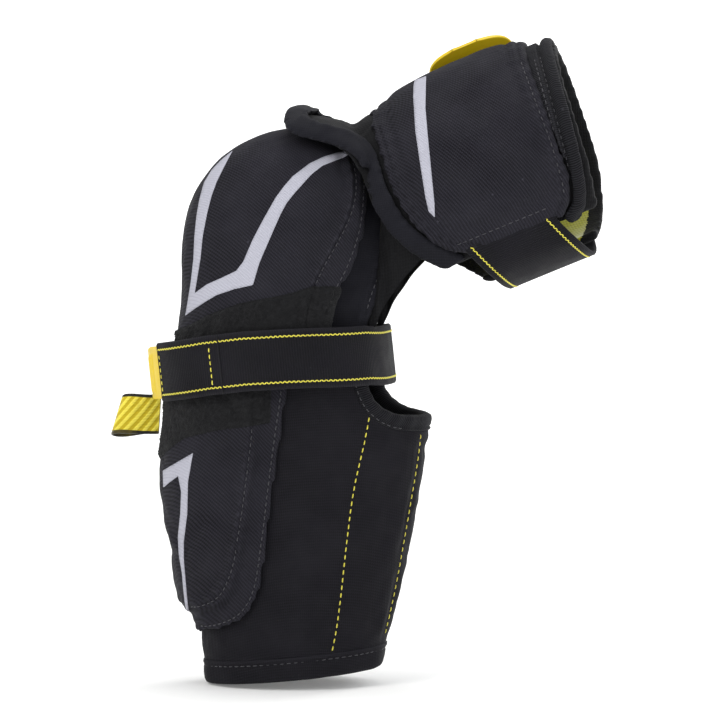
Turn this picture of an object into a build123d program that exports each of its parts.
"""Ice hockey elbow pad: forearm sleeve and guard, floating elbow cap, upper-arm
guard and two hook-and-loop straps.

Working frame, millimetres: origin on the elbow's bending axis, +Y along that axis
(towards the inner side of the arm), +Z up. The forearm hangs along -Z and the upper
arm leaves along +X, raised by ARM_ANGLE. The point of the elbow faces -X. On the
upper arm, u runs along the arm and v is square to it, upwards. Every piece is
exported moved by ELBOW, so the pad stands on z = 0, centred over the origin.
"""
import math
import os

from build123d import *

os.makedirs("parts", exist_ok=True)

# ---------------------------------------------------------------- shared dimensions
ARM_ANGLE = 22.5                    # upper-arm axis above the horizontal
ELBOW = (-27.96, -2.13, 226.93)     # elbow axis in the finished pad's frame
CUT_DEPTH = 90.0                    # reach of a side-view cut to each side of y = 0

COVER_T = 1.4                       # woven cover
SHELL_T = 2.2                       # moulded polyethylene insert
LAYER_GAP = 0.2                     # cover to insert, insert to foam
SEAM_INSET = 0.4                    # insert and foam inside the pocket's outline
PATCH_TOP, PATCH_GAP = 1.2, 0.1     # loop patch faces above the cover
BINDING_T = 1.0                     # hem and binding, beyond both faces of the sleeve

ARM_COS = math.cos(math.radians(ARM_ANGLE))
ARM_SIN = math.sin(math.radians(ARM_ANGLE))
# side view of the upper arm: local x is u, local y is v, and the normal is -Y
ARM_SIDE = Plane(origin=(0, 0, 0), x_dir=(ARM_COS, 0, ARM_SIN), z_dir=(0, -1, 0))

# barrels of revolution: (radius, half width in y, power of the profile)
CAP_BARREL = (61.0, 52.0, 2.8)
PAD_BARREL = (50.0, 39.0, 3.2)
SWEEP_BARREL = (62.5, 53.5, 2.8)    # the upper arm's liner stays outside this one


def arm_plane(u):
    """Section plane of the upper arm: local x is Y, local y is v."""
    return Plane(origin=(u * ARM_COS, 0, u * ARM_SIN), x_dir=(0, 1, 0),
                 z_dir=(ARM_COS, 0, ARM_SIN))


# ---------------------------------------------------------------- shared shapes
# Each of these builds its own solid, then combines it with the caller's part.
def grown(size, growth):
    """A barrel's size with radius and half width grown."""
    radius, half_width, power = size
    return radius + growth, half_width + growth, power


def barrel_profile(radius, half_width, power, count=14):
    """Half of |x/radius|^power + |y/half_width|^power = 1, on the +X side, from +y to -y."""
    quarter = []
    for i in range(count + 1):
        angle = math.pi / 2 * i / count
        quarter.append((radius * math.sin(angle) ** (2 / power),
                        half_width * math.cos(angle) ** (2 / power)))
    return quarter + [(x, -y) for x, y in reversed(quarter[:-1])]


def dome(size, depth, mode=Mode.ADD, centre_x=0.0):
    """Upper half of a barrel, carried straight down by depth."""
    half_width = size[1]
    right = barrel_profile(*size)
    left = [(-x, y) for x, y in right]
    with BuildPart() as solid:
        with BuildSketch(Plane(origin=(centre_x, 0, 0))):
            with BuildLine():
                Spline(*right, tangents=[(1, 0), (-1, 0)])
                Line((0, -half_width), (0, half_width))
            make_face()
        revolve(axis=Axis((centre_x, 0, 0), (0, -1, 0)), revolution_arc=180)
        with BuildSketch(Plane(origin=(centre_x, 0, 0))):
            with BuildLine():
                Spline(*right, tangents=[(1, 0), (-1, 0)])
                Spline(*left, tangents=[(-1, 0), (1, 0)])
            make_face()
        extrude(amount=-depth)
    add(solid.part, mode=mode)


def dome_shell(size, outer, outer_depth, inner, inner_depth, centre_x=0.0):
    """Wall between two domes, each grown from size and carried down by its own depth."""
    dome(grown(size, outer), outer_depth, centre_x=centre_x)
    dome(grown(size, inner), inner_depth, Mode.SUBTRACT, centre_x)


def barrel(size, mode=Mode.ADD):
    """Whole barrel about the elbow axis."""
    half_width = size[1]
    with BuildPart() as solid:
        with BuildSketch(Plane.XY):
            with BuildLine():
                Spline(*barrel_profile(*size), tangents=[(1, 0), (-1, 0)])
                Line((0, -half_width), (0, half_width))
            make_face()
        revolve(axis=Axis.Y, revolution_arc=360)
    add(solid.part, mode=mode)


def barrel_shell(size, outer, inner):
    """Wall between two whole barrels, each grown from size."""
    barrel(grown(size, outer))
    barrel(grown(size, inner), Mode.SUBTRACT)


def keep_outline(curve, corners):
    """Keeps what lies inside a side-view outline: a smooth curve closed by corners."""
    with BuildPart() as cutter:
        with BuildSketch(Plane.XZ):
            with BuildLine():
                Spline(*curve)
                Polyline(*([curve[-1]] + corners + [curve[0]]))
            make_face()
        extrude(amount=CUT_DEPTH, both=True)
    add(cutter.part, mode=Mode.INTERSECT)


def keep_behind(curve, back_x, top=None):
    """Keeps what lies between a falling curve and x = back_x, optionally carried up to top."""
    bottom_z = curve[-1][1]
    if top is None:
        corners = [(back_x, bottom_z), (back_x, curve[0][1])]
    else:
        corners = [(back_x, bottom_z), (back_x, top), (curve[0][0], top)]
    keep_outline(curve, corners)


def keep_between(plane, curve_a, curve_b):
    """Keeps what lies in the strip between two smooth curves."""
    with BuildPart() as cutter:
        with BuildSketch(plane):
            with BuildLine():
                Spline(*curve_a)
                Spline(*curve_b)
                Line(curve_a[0], curve_b[0])
                Line(curve_a[-1], curve_b[-1])
            make_face()
        extrude(amount=CUT_DEPTH, both=True)
    add(cutter.part, mode=Mode.INTERSECT)


def offset_points(points, distance):
    """Points moved sideways, along the path's left-hand normal."""
    moved = []
    for i, (x, y) in enumerate(points):
        x0, y0 = points[max(i - 1, 0)]
        x1, y1 = points[min(i + 1, len(points) - 1)]
        length = math.hypot(x1 - x0, y1 - y0)
        moved.append((x - (y1 - y0) / length * distance, y + (x1 - x0) / length * distance))
    return moved


def band(plane, path, thickness, half_width):
    """Strap: a smooth path given thickness, extruded both ways from its plane."""
    with BuildPart() as strap:
        with BuildSketch(plane):
            with BuildLine():
                left = Spline(*offset_points(path, thickness / 2))
                right = Spline(*offset_points(path, -thickness / 2))
                Line(left @ 1, right @ 1)
                Line(left @ 0, right @ 0)
            make_face()
        extrude(amount=half_width, both=True)
    return strap.part


def export_piece(name, part):
    """Writes one piece, moved from the working frame to the pad's frame."""
    piece = part.moved(Location(ELBOW))
    piece.label = name
    export_step(piece, f"parts/{name}.step")


# ---------------------------------------------------------------- forearm sleeve
# sleeve's inner surface: (z, centre x, half width in x, half width in y)
FOREARM = [
    (-44.0, 3.0, 60.0, 37.5),
    (-85.0, 2.5, 60.5, 38.0),
    (-130.0, -0.3, 57.6, 36.5),
    (-175.0, -1.3, 49.6, 33.0),
    (-197.0, -2.4, 45.2, 31.0),
    (-214.0, -4.0, 42.0, 29.5),
    (-232.0, -4.6, 39.6, 28.5),
]
SLEEVE_T = 4.0              # neoprene wall
SLEEVE_TOP = -47.5
SLEEVE_BACK, SLEEVE_FRONT = -90.0, 80.0     # x limits of the cuts, clear of the sleeve
HEM_SLOPE = 0.0989          # rise of the cuff edge per mm of x
HEM_Z = -222.0              # cuff edge height at x = 0
HEM_H = 13.0                # turned hem height
HEM_GAP = 0.2
BINDING_GAP = 0.25

# inside of the elbow, (x, z): free edge of the binding and its seam on the sleeve
CREASE = [(37.0, -62.0), (38.5, -70.0), (42.5, -78.5), (51.0, -84.5), (62.0, -86.5),
          (80.0, -87.5)]
CREASE_SEAM = [(30.0, -62.0), (32.0, -72.0), (36.5, -82.0), (46.0, -90.5), (58.0, -94.0),
               (80.0, -95.5)]


def hem_point(x, rise=0.0):
    """Side-view point on the sloping cuff edge, raised by rise."""
    return x, HEM_Z + HEM_SLOPE * x + rise


def forearm_body(growth, mode=Mode.ADD):
    """Lofted forearm shape, grown from the sleeve's inner surface."""
    with BuildPart() as solid:
        for z, centre_x, half_x, half_y in FOREARM:
            with BuildSketch(Plane(origin=(centre_x, 0, z))):
                Ellipse(half_x + growth, half_y + growth)
        loft()
    add(solid.part, mode=mode)


def forearm_shell(outer, inner):
    """Wall between two forearm shapes."""
    forearm_body(outer)
    forearm_body(inner, Mode.SUBTRACT)


def forearm_sleeve():
    with BuildPart() as piece:
        forearm_shell(SLEEVE_T, 0.0)
        keep_outline(CREASE_SEAM, [
            hem_point(SLEEVE_FRONT, HEM_H), hem_point(SLEEVE_BACK, HEM_H),
            (SLEEVE_BACK, SLEEVE_TOP), (CREASE_SEAM[0][0], SLEEVE_TOP)])
    return piece.part


def sleeve_hem():
    hem_top = HEM_H - HEM_GAP
    with BuildPart() as piece:
        forearm_shell(SLEEVE_T + BINDING_T, -BINDING_T)
        with BuildSketch(Plane.XZ):
            with BuildLine():
                Polyline(hem_point(SLEEVE_BACK), hem_point(SLEEVE_FRONT),
                         hem_point(SLEEVE_FRONT, hem_top), hem_point(SLEEVE_BACK, hem_top),
                         close=True)
            make_face()
        extrude(amount=CUT_DEPTH, both=True, mode=Mode.INTERSECT)
    return piece.part


def crease_binding():
    seam = [(x + BINDING_GAP, z + BINDING_GAP) for x, z in CREASE_SEAM]
    with BuildPart() as piece:
        forearm_shell(SLEEVE_T + BINDING_T, -BINDING_T)
        keep_between(Plane.XZ, seam, CREASE)
    return piece.part


# ---------------------------------------------------------------- forearm guard
GUARD_T = 14.0              # guard's outer face above the sleeve's inner face
GUARD_FLANGE_T = 8.2        # sewn flange, likewise
GUARD_BASE = SLEEVE_T + 0.3     # guard's inner face, just clear of the sleeve
GUARD_BACK = -90.0          # x limit of the cuts, clear of the guard
GUARD_TOP, GUARD_SEAM_TOP = -55.0, -58.0
GUARD_SEAM_W = 1.6          # cover's raised part beyond the pocket
GUARD_TIP_Z = -150.0        # below this the seam is moved in z as well as in x

# (x, z) of the flange's edge, and of the pocket
GUARD_OUT = [(-1.5, -60.0), (-2.0, -72.0), (-5.2, -95.3), (-8.8, -121.0), (-12.9, -152.0),
             (-18.0, -177.7), (-25.8, -189.5), (-38.6, -196.5), (-51.5, -199.0),
             (-64.0, -198.0)]
GUARD_SEAM = [(-18.0, -62.0), (-19.0, -78.0), (-20.0, -96.0), (-23.2, -121.0),
              (-27.3, -147.0), (-31.5, -166.0), (-38.6, -178.7), (-51.5, -185.0),
              (-66.0, -185.5)]

# loop patch, (x, z): front edge, then the other corners
FOREARM_PATCH_EDGE = [(-20.5, -56.0), (-20.8, -70.0), (-21.5, -84.0)]
FOREARM_PATCH_CORNERS = [(-45.0, -91.0), (-66.0, -101.0), (-90.0, -113.0), (-90.0, -56.0)]

PLATE_OUT = GUARD_T - COVER_T - LAYER_GAP
PLATE_IN = PLATE_OUT - SHELL_T


def guard_seam(growth):
    """Pocket outline grown forwards, and downwards at the tip."""
    return [(x + growth, z - (growth if z < GUARD_TIP_Z else 0.0)) for x, z in GUARD_SEAM]


def forearm_guard_cover():
    with BuildPart() as flange:
        forearm_shell(GUARD_FLANGE_T, GUARD_BASE)
        keep_behind(GUARD_OUT, GUARD_BACK, GUARD_TOP)

    with BuildPart() as pocket:
        forearm_body(GUARD_T - COVER_T)
        keep_behind(GUARD_SEAM, GUARD_BACK, GUARD_SEAM_TOP)

    with BuildPart() as piece:
        forearm_shell(GUARD_T, GUARD_BASE)
        keep_behind(guard_seam(GUARD_SEAM_W), GUARD_BACK, GUARD_TOP)
        add(flange.part)
        add(pocket.part, mode=Mode.SUBTRACT)
    return piece.part


def guard_filling(outer, inner):
    """Layer of the forearm guard that lies inside the pocket."""
    with BuildPart() as piece:
        forearm_shell(outer, inner)
        keep_behind(guard_seam(-SEAM_INSET), GUARD_BACK, GUARD_SEAM_TOP - SEAM_INSET)
    return piece.part


def forearm_guard_plate():
    return guard_filling(PLATE_OUT, PLATE_IN)


def forearm_guard_foam():
    return guard_filling(PLATE_IN - LAYER_GAP, GUARD_BASE)


def forearm_loop_patch():
    """Loop side of the closure, at the upper end of the forearm guard."""
    with BuildPart() as piece:
        forearm_shell(GUARD_T + PATCH_TOP, GUARD_T + PATCH_GAP)
        keep_outline(FOREARM_PATCH_EDGE, FOREARM_PATCH_CORNERS)
    return piece.part


# ---------------------------------------------------------------- elbow liner
PAD_X = 3.0                 # centre of the side pads' dome
PAD_T = 6.0
PAD_BOTTOM = -46.5
PAD_BACK = -70.0            # x limit of the cut, clear of the pad
CREASE_HALF = 22.0          # half width of the open inside of the elbow
CREASE_CUT_X, CREASE_CUT_LENGTH, CREASE_CUT_REACH = 50.0, 96.0, 80.0

# (x, z)
PAD_RIM = [(31.0, 60.0), (42.0, 45.0), (50.0, 26.0), (56.0, 8.0), (55.5, -4.0),
           (51.0, -12.0), (45.5, -23.0), (40.5, -32.0), (37.5, -39.0), (36.5, PAD_BOTTOM)]

GUSSET_OUTER, GUSSET_INNER = 1.6, 2.8       # faces inside the side pads
GUSSET_SECTOR = [(0, 0), (-9, 60), (70, 60), (70, 34)]      # (x, z)
GUSSET_HALF_W = 20.0

RING_OUTER, RING_INNER = 0.3, 5.3           # faces inside the side pads
RING_R, RING_HOLE_R, RING_Z = 24.0, 13.0, -8.0
RING_REACH = 80.0


def elbow_side_pad():
    with BuildPart() as piece:
        dome_shell(PAD_BARREL, 0.0, -PAD_BOTTOM, -PAD_T, 60, centre_x=PAD_X)
        keep_behind(PAD_RIM, PAD_BACK)
        # the inside of the elbow stays open
        with BuildSketch(Plane.XY):
            with Locations((CREASE_CUT_X, 0)):
                Rectangle(CREASE_CUT_LENGTH, 2 * CREASE_HALF)
        extrude(amount=CREASE_CUT_REACH, both=True, mode=Mode.SUBTRACT)
    return piece.part


def elbow_gusset():
    """Elastic bridge over the top of the elbow, towards the upper-arm guard."""
    with BuildPart() as piece:
        barrel_shell(PAD_BARREL, -PAD_T - GUSSET_OUTER, -PAD_T - GUSSET_INNER)
        with BuildSketch(Plane.XZ):
            with BuildLine():
                Polyline(*GUSSET_SECTOR, close=True)
            make_face()
        extrude(amount=GUSSET_HALF_W, both=True, mode=Mode.INTERSECT)
    return piece.part


def elbow_foam_ring():
    """Soft foam ring round the elbow point, inside the liner."""
    with BuildPart() as piece:
        dome_shell(PAD_BARREL, -PAD_T - RING_OUTER, 60, -PAD_T - RING_INNER, 70,
                   centre_x=PAD_X)
        with BuildSketch(Plane.YZ):
            with Locations((0, RING_Z)):
                Circle(RING_R)
                Circle(RING_HOLE_R, mode=Mode.SUBTRACT)
        extrude(amount=-RING_REACH, mode=Mode.INTERSECT)
    return piece.part


# ---------------------------------------------------------------- elbow cap
CAP_WALL = 8.0
CAP_BOTTOM = -45.0
CAP_BACK = -80.0            # x limit of the cuts, clear of the cap
CAP_SEAM_H = 3.0            # pocket's lower edge above the cap's
CAP_PATCH_RISE = 2.8        # loop patch's lower edge above the cap's

# (x, z) of the cover's edge, and of the pocket
CAP_RIM = [(46.0, 66.0), (40.5, 57.5), (37.0, 50.0), (38.6, 36.0), (38.8, 23.2),
           (37.0, 7.7), (31.0, -10.3), (24.0, -24.0), (20.8, -34.0), (19.6, CAP_BOTTOM)]
CAP_SEAM = [(30.0, 66.0), (26.0, 56.0), (26.8, 44.0), (28.8, 34.0), (28.6, 24.0),
            (25.8, 12.9), (20.6, 2.0), (11.0, -15.4), (5.4, -30.0),
            (3.6, CAP_BOTTOM + CAP_SEAM_H)]
CAP_INNER = [(x - SEAM_INSET, z) for x, z in CAP_SEAM]
CAP_INNER[-1] = (CAP_INNER[-1][0], CAP_INNER[-1][1] + SEAM_INSET)

# upper edge of the loop patch, (x, z)
CAP_PATCH_EDGE = [(19.0, -23.0), (5.0, -22.5), (-15.0, -24.5), (-35.0, -30.0),
                  (-48.0, -36.0), (-80.0, -44.0)]
CAP_PATCH_CORNERS = [(-80.0, -60.0), (19.0, -60.0)]

CAP_SHELL_OUT = -COVER_T - LAYER_GAP
CAP_SHELL_IN = CAP_SHELL_OUT - SHELL_T


def elbow_cap_cover():
    with BuildPart() as pocket:
        dome(grown(CAP_BARREL, -COVER_T), 60)
        keep_behind(CAP_SEAM, CAP_BACK)

    with BuildPart() as piece:
        dome_shell(CAP_BARREL, 0.0, -CAP_BOTTOM, -CAP_WALL, 60)
        keep_behind(CAP_RIM, CAP_BACK)
        add(pocket.part, mode=Mode.SUBTRACT)
    return piece.part


def cap_filling(outer, inner):
    """Layer of the elbow cap that lies inside the pocket."""
    with BuildPart() as piece:
        dome_shell(CAP_BARREL, outer, 60, inner, 70)
        keep_behind(CAP_INNER, CAP_BACK)
    return piece.part


def elbow_cap_shell():
    return cap_filling(CAP_SHELL_OUT, CAP_SHELL_IN)


def elbow_cap_foam():
    return cap_filling(CAP_SHELL_IN - LAYER_GAP, -CAP_WALL)


def cap_loop_patch():
    """Loop patch on the lower part of the cap."""
    with BuildPart() as piece:
        dome_shell(CAP_BARREL, PATCH_TOP, -CAP_BOTTOM - CAP_PATCH_RISE, PATCH_GAP, 60)
        keep_outline(CAP_PATCH_EDGE, CAP_PATCH_CORNERS)
    return piece.part


# ---------------------------------------------------------------- upper-arm liner and roll
# sections across the arm are ovals: (half width in y, half width in v, centre v)
LINER_Y, LINER_V, LINER_V0 = 43.0, 46.0, -4.5   # inner face of the liner
LINER_T = 4.5
ROLL_IN, ROLL_OUT = 0.2, 3.4                    # faces of the roll above the liner
ROLL_W = 10.5
ROLL_DROP = 2.0             # shift in v of the roll's inner edge below the arm axis
TONGUE_V, TONGUE_TOP = 24.0, 90.0               # lower and upper limits in v
LINER_TONGUE_U, ROLL_TONGUE_U = 58.0, 56.0      # where each tongue joins its tube

# end edges of the liner, (u, v): towards the elbow, and towards the shoulder
DISTAL = [(25.0, 76.0), (21.0, 66.0), (20.6, 57.0), (27.0, 50.0), (37.0, 42.5),
          (44.6, 33.0), (46.8, 11.4), (50.5, -12.6), (58.0, -28.0), (67.0, -39.0),
          (79.0, -51.0), (90.0, -60.0)]
PROXIMAL = [(138.0, -60.0), (146.0, -50.0), (153.0, -32.0), (157.0, -8.0), (159.0, 20.0),
            (161.0, 48.0), (161.5, 60.0)]


def liner_oval(growth):
    """Liner's inner oval, grown."""
    return LINER_Y + growth, LINER_V + growth, LINER_V0


def arm_ring(u0, u1, outer, inner):
    """Ring along the upper arm from u0 to u1, between two ovals."""
    with BuildPart() as ring:
        with BuildSketch(arm_plane(u0)):
            with Locations((0, outer[2])):
                Ellipse(outer[0], outer[1])
            with Locations((0, inner[2])):
                Ellipse(inner[0], inner[1], mode=Mode.SUBTRACT)
        extrude(amount=u1 - u0)
    add(ring.part)


def remove_block(y0, y1, v0, v1, u0, u1):
    """Cuts away a box given by its extents in the upper arm's axes."""
    with BuildPart() as box:
        with BuildSketch(arm_plane(u0)):
            with Locations(((y0 + y1) / 2, (v0 + v1) / 2)):
                Rectangle(y1 - y0, v1 - v0)
        extrude(amount=u1 - u0)
    add(box.part, mode=Mode.SUBTRACT)


def tongue(outer, inner, end_u):
    """Flare that rides over the elbow cap, a sector of a barrel wall."""
    with BuildPart() as flare:
        barrel_shell(SWEEP_BARREL, outer, inner)
        with BuildSketch(ARM_SIDE):
            with BuildLine():
                Polyline((0, TONGUE_V), (end_u, TONGUE_V), (end_u, TONGUE_TOP),
                         (0, TONGUE_TOP), close=True)
            make_face()
        extrude(amount=CUT_DEPTH, both=True, mode=Mode.INTERSECT)
    return flare.part


def bicep_liner():
    """Oval tube of the upper arm, with its tongue over the elbow cap."""
    flare = tongue(LINER_T, 0.0, LINER_TONGUE_U)
    with BuildPart() as piece:
        arm_ring(38, 164, liner_oval(LINER_T), liner_oval(0.0))
        barrel(SWEEP_BARREL, Mode.SUBTRACT)
        add(flare)
        with BuildSketch(ARM_SIDE):
            with BuildLine():
                Spline(*DISTAL)
                Line(DISTAL[-1], PROXIMAL[0])
                Spline(*PROXIMAL)
                Polyline(PROXIMAL[-1], (PROXIMAL[-1][0], TONGUE_TOP),
                         (DISTAL[0][0], TONGUE_TOP), DISTAL[0])
            make_face()
        extrude(amount=CUT_DEPTH, both=True, mode=Mode.INTERSECT)
        # the wrap is open along the underside, towards the outer side of the arm
        remove_block(y0=-60, y1=-4, v0=-73, v1=-39, u0=40, u1=170)
    return piece.part


def bicep_collar_roll(liner):
    """Raised roll along the liner's edge at the elbow end."""
    roll_in, roll_out = LINER_T + ROLL_IN, LINER_T + ROLL_OUT
    inner_edge = [(u + ROLL_W, v + (ROLL_DROP if v < 0 else 0.0)) for u, v in DISTAL]
    flare = tongue(roll_out, roll_in, ROLL_TONGUE_U)
    with BuildPart() as blank:
        arm_ring(38, 90, liner_oval(roll_out), liner_oval(roll_in))
        barrel(grown(SWEEP_BARREL, roll_in), Mode.SUBTRACT)
        add(flare)
        # keep clear of the liner itself where tube and tongue meet
        add(liner, mode=Mode.SUBTRACT)
        keep_between(ARM_SIDE, DISTAL, inner_edge)
        remove_block(y0=-70, y1=70, v0=-89, v1=-39, u0=38, u1=168)

    # only the largest solid is the roll
    with BuildPart() as piece:
        add(blank.part.solids().sort_by(SortBy.VOLUME)[-1])
    return piece.part


# ---------------------------------------------------------------- upper-arm guard
# outer shape of the padded guard: (u, half width in y, half width in v)
GUARD_SECTIONS = [
    (57.0, 49.0, 49.5), (66.0, 52.5, 53.8), (79.0, 55.6, 57.6),
    (98.0, 57.0, 59.4), (128.0, 56.6, 59.0), (148.0, 52.0, 54.8),
]
GUARD_V0 = -2.0
POCKET_Y, POCKET_V = 54.8, 57.2     # half widths of the pocket, before the cover's thickness
POCKET_U0, POCKET_U1 = 50.0, 150.0
POCKET_INSET = 0.3                  # insert and foam against the pocket's outline
GUARD_LIMIT_V = 2.0                 # guard's lower edge on the inner side of the arm
POCKET_LIMIT_V, FILLING_LIMIT_V = 14.0, 14.4    # likewise for pocket and filling

# (u, v) at the elbow end and, suffixed _P, at the shoulder end
PAD_EDGE = [(60.0, 70.0), (59.0, 45.3), (59.2, 28.4), (58.8, 6.4), (62.0, -11.7),
            (67.6, -25.2), (76.0, -33.0), (86.0, -37.0)]
PAD_EDGE_P = [(134.0, -37.0), (141.0, -30.0), (145.5, -8.0), (146.6, 20.0), (146.3, 48.0),
              (146.0, 70.0)]
POCKET = [(76.0, 70.0), (75.5, 45.0), (75.5, 25.0), (76.5, 5.0), (79.0, -9.0),
          (84.0, -19.0), (92.0, -26.0)]
POCKET_P = [(127.0, -26.0), (134.0, -18.0), (137.0, 0.0), (138.0, 24.0), (138.0, 48.0),
            (138.0, 70.0)]

# binding at the shoulder end
EDGE_BINDING_IN, EDGE_BINDING_OUT = 0.2, 2.4    # faces above the liner
EDGE_BINDING_GAP = 0.6
EDGE_BINDING_P = [(137.0, -42.0), (146.0, -36.0), (152.0, -20.0), (155.5, 0.0),
                  (158.0, 22.0), (159.8, 48.0), (160.0, 70.0)]

ARM_STRAP_W, ARM_STRAP_U = 50.0, 115.5
ARM_PATCH_V, ARM_PATCH_H = 33.0, 32.0
ARM_PATCH_MARGIN = 4.0              # patch wider than the strap
ARM_PATCH_GAP = 0.15


def guard_body(growth=0.0, mode=Mode.ADD):
    """Lofted outer shape of the upper-arm guard, grown."""
    with BuildPart() as solid:
        for u, half_y, half_v in GUARD_SECTIONS:
            with BuildSketch(arm_plane(u)):
                with Locations((0, GUARD_V0)):
                    Ellipse(half_y + growth, half_v + growth)
        loft()
    add(solid.part, mode=mode)


def pocket_oval(inset):
    """Pocket's oval, shrunk."""
    return POCKET_Y - inset, POCKET_V - inset, GUARD_V0


def keep_pad(distal, proximal, inset=0.0):
    """Keeps the guard's side outline, between its two end curves."""
    keep_between(ARM_SIDE, [(u + inset, v + inset) for u, v in distal],
                 [(u - inset, v + inset) for u, v in reversed(proximal)])


def open_inner_side(limit):
    """Clears the inner side of the arm below v = limit."""
    remove_block(y0=-18, y1=90, v0=limit - 100, v1=limit, u0=40, u1=170)


def bicep_guard_cover(liner, roll):
    with BuildPart() as pocket:
        arm_ring(POCKET_U0, POCKET_U1, pocket_oval(COVER_T), liner_oval(LINER_T + 0.1))
        keep_pad(POCKET, POCKET_P)
        open_inner_side(POCKET_LIMIT_V)

    bore_y, bore_v, bore_v0 = liner_oval(LINER_T + 0.4)
    with BuildPart() as piece:
        guard_body()
        with BuildSketch(arm_plane(40)):
            with Locations((0, bore_v0)):
                Ellipse(bore_y, bore_v)
        extrude(amount=130, mode=Mode.SUBTRACT)
        keep_pad(PAD_EDGE, PAD_EDGE_P)
        open_inner_side(GUARD_LIMIT_V)
        add(pocket.part, mode=Mode.SUBTRACT)
        add(roll, mode=Mode.SUBTRACT)
        add(liner, mode=Mode.SUBTRACT)
    return piece.part


def bicep_filling(outer, inner):
    """Layer of the upper-arm guard that lies inside the pocket."""
    with BuildPart() as piece:
        arm_ring(POCKET_U0, POCKET_U1, outer, inner)
        keep_pad(POCKET, POCKET_P, POCKET_INSET)
        open_inner_side(FILLING_LIMIT_V)
    return piece.part


def bicep_guard_plate():
    inset = COVER_T + LAYER_GAP
    return bicep_filling(pocket_oval(inset), pocket_oval(inset + SHELL_T))


def bicep_guard_foam():
    inset = COVER_T + SHELL_T + 2 * LAYER_GAP
    return bicep_filling(pocket_oval(inset), liner_oval(LINER_T + 0.5))


def bicep_edge_binding():
    with BuildPart() as piece:
        arm_ring(120, 164, liner_oval(LINER_T + EDGE_BINDING_OUT),
                 liner_oval(LINER_T + EDGE_BINDING_IN))
        keep_between(ARM_SIDE, [(u + EDGE_BINDING_GAP, v) for u, v in PAD_EDGE_P],
                     EDGE_BINDING_P)
        open_inner_side(GUARD_LIMIT_V)
    return piece.part


def bicep_loop_patch():
    """Loop patch for the upper-arm strap, on the inner side of the arm."""
    with BuildPart() as piece:
        guard_body(PATCH_TOP)
        guard_body(ARM_PATCH_GAP, Mode.SUBTRACT)
        with BuildSketch(ARM_SIDE):
            with Locations((ARM_STRAP_U, ARM_PATCH_V)):
                Rectangle(ARM_STRAP_W + ARM_PATCH_MARGIN, ARM_PATCH_H)
        extrude(amount=-CUT_DEPTH, mode=Mode.INTERSECT)
    return piece.part


# ---------------------------------------------------------------- straps
STRAP_W, STRAP_T = 31.6, 1.8
TAB_T, HOOK_T = 1.6, 1.0
STRAP_Z, STRAP_TILT = -61.0, 6.0
TILT_COS = math.cos(math.radians(STRAP_TILT))
TILT_SIN = math.sin(math.radians(STRAP_TILT))
# local x is nearly X, local y is Y
ELBOW_STRAP = Plane(origin=(0, 0, STRAP_Z), x_dir=(TILT_COS, 0, TILT_SIN),
                    z_dir=(-TILT_SIN, 0, TILT_COS))

# Elbow strap paths, (x, y): sewn round the inside of the bend and the inner side of
# the arm, free along the outer side, its end wrapping towards the elbow point.
ANCHOR = [(38.93, -38.5), (44.0, -27.0), (46.4, -14.0), (47.0, 0.0), (46.4, 14.0),
          (44.0, 27.0), (38.6, 39.0), (30.0, 47.8), (17.5, 53.4), (-4.0, 55.2),
          (-24.0, 53.6)]
FREE = [(38.27, -39.5), (30.0, -47.8), (17.5, -53.4), (-4.0, -55.2), (-24.0, -53.6),
        (-37.0, -50.2)]
END = [(-37.9, -49.9), (-50.0, -44.2), (-61.0, -35.0), (-69.8, -22.8), (-73.5, -14.6)]
TAB = [(-73.9, -13.7), (-76.0, -5.0), (-76.8, 3.0)]
HOOK = offset_points([(-40.0, -49.1), (-50.0, -44.2), (-61.0, -35.0), (-69.0, -24.2)], -1.6)

# Upper-arm strap paths, (y, v): from the outer side, under the arm and up the inner side.
ARM_ANCHOR = [(-44.2, -39.6), (-38.0, -49.0), (-26.0, -56.6), (-12.0, -60.3), (-0.6, -61.0)]
ARM_FREE = [(0.6, -61.0), (22.0, -58.5), (41.0, -46.0), (54.0, -26.0), (60.0, -4.0),
            (59.6, 13.4)]
ARM_END = [(59.4, 14.6), (56.6, 25.0), (50.6, 35.6), (42.6, 45.0), (39.0, 48.6)]
ARM_TAB = [(38.4, 49.2), (32.0, 56.0), (25.5, 63.0)]
ARM_HOOK = offset_points([(58.6, 19.0), (56.6, 25.0), (50.6, 35.6), (44.0, 43.5)], 1.5)
ARM_STRAP = arm_plane(ARM_STRAP_U)

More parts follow.
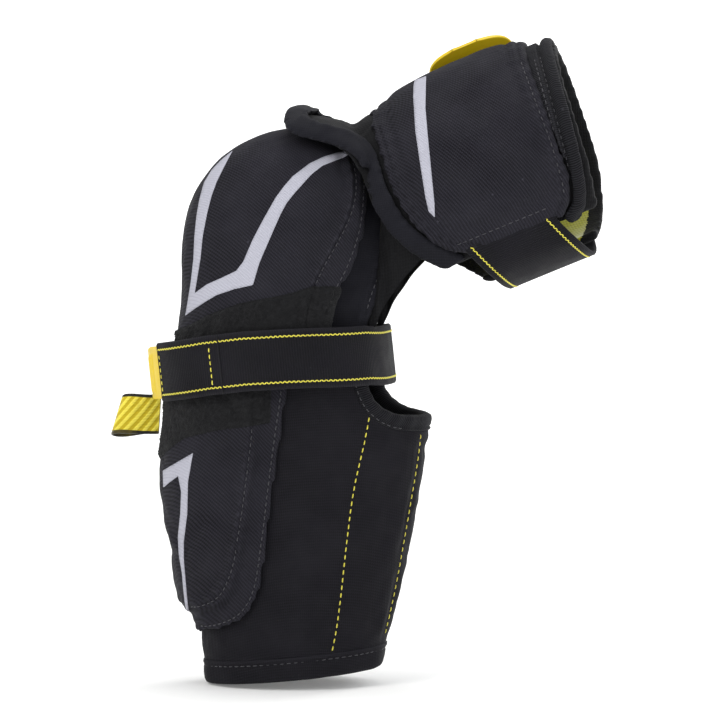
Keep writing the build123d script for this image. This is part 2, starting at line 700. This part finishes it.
# (name, plane, path, thickness, half width)
STRAPS = [
    ("elbow_strap_anchor", ELBOW_STRAP, ANCHOR, STRAP_T, STRAP_W / 2),
    ("elbow_strap_band", ELBOW_STRAP, FREE, STRAP_T, STRAP_W / 2),
    ("elbow_strap_end", ELBOW_STRAP, END, STRAP_T, STRAP_W / 2),
    ("elbow_strap_tab", ELBOW_STRAP, TAB, TAB_T, 13.0),
    ("elbow_strap_hook", ELBOW_STRAP, HOOK, HOOK_T, 12.5),
    ("bicep_strap_anchor", ARM_STRAP, ARM_ANCHOR, STRAP_T, ARM_STRAP_W / 2),
    ("bicep_strap_band", ARM_STRAP, ARM_FREE, STRAP_T, ARM_STRAP_W / 2),
    ("bicep_strap_end", ARM_STRAP, ARM_END, STRAP_T, ARM_STRAP_W / 2),
    ("bicep_strap_tab", ARM_STRAP, ARM_TAB, TAB_T, 23.0),
    ("bicep_strap_hook", ARM_STRAP, ARM_HOOK, HOOK_T, 22.0),
]

# ---------------------------------------------------------------- pull loop
LOOP_Y, LOOP_TOP = 8.0, -78.3
WEBBING_W = 20.6
# (x, half width in y) from the open end, then x of the rounded tip
LOOP_OUTER = [(-74.6, 1.4), (-82.0, 2.9), (-91.0, 3.4), (-97.2, 2.4)]
LOOP_OUTER_TIP = -98.6
LOOP_INNER = [(-78.6, 0.0), (-82.5, 1.6), (-91.0, 2.1), (-96.2, 1.5)]
LOOP_INNER_TIP = -97.3


def loop_curve(stations, tip_x):
    """Points down one side of the loop, round its tip and back up the other."""
    return ([(x, LOOP_Y - half) for x, half in stations] + [(tip_x, LOOP_Y)]
            + [(x, LOOP_Y + half) for x, half in reversed(stations)])


def pull_loop():
    outer = loop_curve(LOOP_OUTER, LOOP_OUTER_TIP)
    with BuildPart() as piece:
        with BuildSketch(Plane(origin=(0, 0, LOOP_TOP))):
            with BuildLine():
                Spline(*outer)
                Line(outer[-1], outer[0])
            make_face()
            with BuildLine():
                Spline(*loop_curve(LOOP_INNER, LOOP_INNER_TIP))
            make_face(mode=Mode.SUBTRACT)
        extrude(amount=-WEBBING_W)
    return piece.part


# ---------------------------------------------------------------- export
for make in (forearm_sleeve, sleeve_hem, crease_binding,
             forearm_guard_cover, forearm_guard_plate, forearm_guard_foam,
             forearm_loop_patch,
             elbow_side_pad, elbow_gusset, elbow_foam_ring,
             elbow_cap_cover, elbow_cap_shell, elbow_cap_foam, cap_loop_patch):
    export_piece(make.__name__, make())

liner_part = bicep_liner()
roll_part = bicep_collar_roll(liner_part)
export_piece("bicep_liner", liner_part)
export_piece("bicep_collar_roll", roll_part)
export_piece("bicep_guard_cover", bicep_guard_cover(liner_part, roll_part))

for make in (bicep_guard_plate, bicep_guard_foam, bicep_edge_binding, bicep_loop_patch):
    export_piece(make.__name__, make())

for name, plane, path, thickness, half_width in STRAPS:
    export_piece(name, band(plane, path, thickness, half_width))

export_piece("pull_loop", pull_loop())
